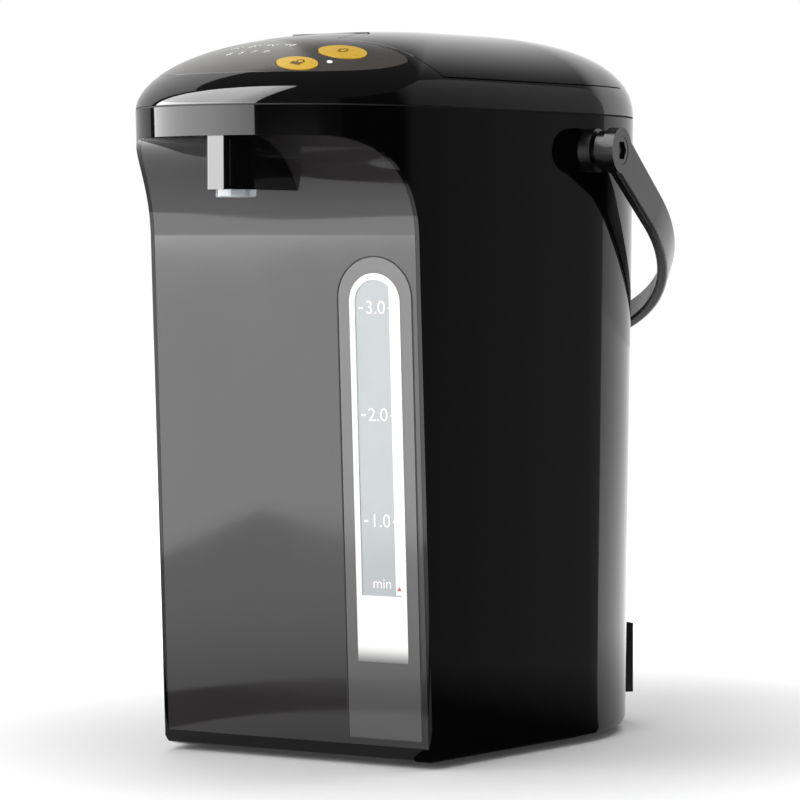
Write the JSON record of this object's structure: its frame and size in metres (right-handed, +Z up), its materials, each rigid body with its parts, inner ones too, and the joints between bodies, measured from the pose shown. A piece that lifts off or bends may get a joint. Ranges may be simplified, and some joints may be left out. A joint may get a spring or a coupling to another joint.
{
  "type": "electric thermo pot",
  "caption": "Electric thermo pot with a flared front panel, a level gauge strip, a spout under a beak, push buttons, a rear-hinged lid, a bail handle and a swivel base.",
  "frame": {"origin": "on the vertical axis of the round back, on the table under the swivel base", "axes": "+Z up, the front panel and spout face -Y, +X to the right seen from the front"},
  "size_m": [0.23, 0.3258, 0.3439],
  "materials": {
    "shell_black": "high gloss moulded",
    "panel_smoke": "high gloss smoke grey",
    "cover_smoke": "gloss smoke grey",
    "gauge_white": "white moulded",
    "window_clear": "clear moulded",
    "tube_clear": "clear",
    "rubber_dark": "matte",
    "silicone_grey": "satin",
    "steel": "brushed",
    "vessel_coat": "coated",
    "zinc_steel": "zinc plated",
    "foam_wrap": "needled felt",
    "inner_plastic": "moulded",
    "base_black": "fine texture",
    "nozzle_clear": "clear moulded",
    "plate_grey": "printed film",
    "button_yellow": "soft gloss",
    "lamp_white": "diffuse lens",
    "board_green": "solder mask",
    "heater_grey": "cast",
    "handle_black": "semi gloss moulded",
    "lid_inner": "satin",
    "copper": "wound wire",
    "pin_metal": "plated",
    "spring_steel": "drawn wire"
  },
  "bodies": {
    "pot": {"outer_shell": "shell_black", "front_panel": "panel_smoke", "gauge_cover": "cover_smoke", "gauge_frame": "gauge_white", "gauge_window": "window_clear", "gauge_reflector": "gauge_white", "level_tube": "tube_clear", "tube_joints": "silicone_grey", "outlet_pipe": "steel", "spout_cover": "shell_black", "spout_nozzle": "nozzle_clear", "inner_vessel": "vessel_coat", "vessel_seal": "silicone_grey", "insulation_jacket": "foam_wrap", "band_heater": "heater_grey", "heater_plate": "heater_grey", "thermostat": "inner_plastic", "temperature_sensor": "steel", "thermal_fuse": "inner_plastic", "support_skirt": "zinc_steel", "motor_bracket": "zinc_steel", "motor_case": "zinc_steel", "motor_stator": "copper", "pump_bracket": "zinc_steel", "pump_housing": "inner_plastic", "pump_cover": "inner_plastic", "pump_hoses": "silicone_grey", "base_plate": "base_black", "base_screws": "zinc_steel", "power_board": "board_green", "inlet_housing": "base_black", "inlet_pins": "pin_metal", "dispense_spring": "spring_steel", "unlock_spring": "spring_steel", "indicator_lens": "lamp_white", "top_housing": "shell_black", "control_plate": "plate_grey", "control_board": "board_green", "mouth_ring": "base_black", "hinge_block": "base_black", "hinge_pin": "steel", "handle_bosses": "handle_black", "handle_screws": "handle_black"},
    "lid": {"lid_cover": "shell_black", "lid_base": "base_black", "lid_plug": "lid_inner", "lid_gasket": "silicone_grey", "steam_tube": "inner_plastic", "steam_vent": "shell_black"},
    "lever": {"lid_lever": "shell_black"},
    "dispense": {"dispense_button": "button_yellow"},
    "unlock": {"unlock_button": "button_yellow"},
    "handle": {"handle_bail": "handle_black"},
    "swivel": {"swivel_disc": "base_black", "swivel_retainer": "base_black", "foot_ring": "rubber_dark", "swivel_glides": "inner_plastic"},
    "rotor": {"motor_rotor": "base_black", "motor_shaft": "steel", "pump_impeller": "inner_plastic"}
  },
  "joints": [
    {"name": "lid_hinge", "type": "hinge", "parent": "pot", "child": "lid", "pos_m": [0, 0.089, 0.321], "axis": [-1, 0, 0], "range_deg": [0, 85]},
    {"name": "lever_lift", "type": "hinge", "parent": "lid", "child": "lever", "pos_m": [0, -0.0996, 0.33986], "axis": [-1, 0, 0], "range_deg": [0, 22], "stiffness_Nm_per_rad": 0.02, "springref_deg": -5.73},
    {"name": "dispense_press", "type": "slide", "parent": "pot", "child": "dispense", "axis": [-0.2081, 0.2502, -0.9456], "range_m": [0, 0.0015], "stiffness_N_per_m": 300, "springref_m": -0.001, "deforming": ["dispense_spring"]},
    {"name": "unlock_press", "type": "slide", "parent": "pot", "child": "unlock", "axis": [-0.169, 0.369, -0.9139], "range_m": [0, 0.0015], "stiffness_N_per_m": 300, "springref_m": -0.001, "deforming": ["unlock_spring"]},
    {"name": "handle_swing", "type": "hinge", "parent": "pot", "child": "handle", "pos_m": [0, -0.0208, 0.2863], "axis": [1, 0, 0], "range_deg": [0, 125]},
    {"name": "swivel_turn", "type": "hinge", "parent": "pot", "child": "swivel", "pos_m": [0, 0, 0], "axis": [0, 0, 1], "continuous": true},
    {"name": "pump_spin", "type": "hinge", "parent": "pot", "child": "rotor", "pos_m": [0, -0.052, 0.03], "axis": [0, 0, 1], "continuous": true}
  ]
}
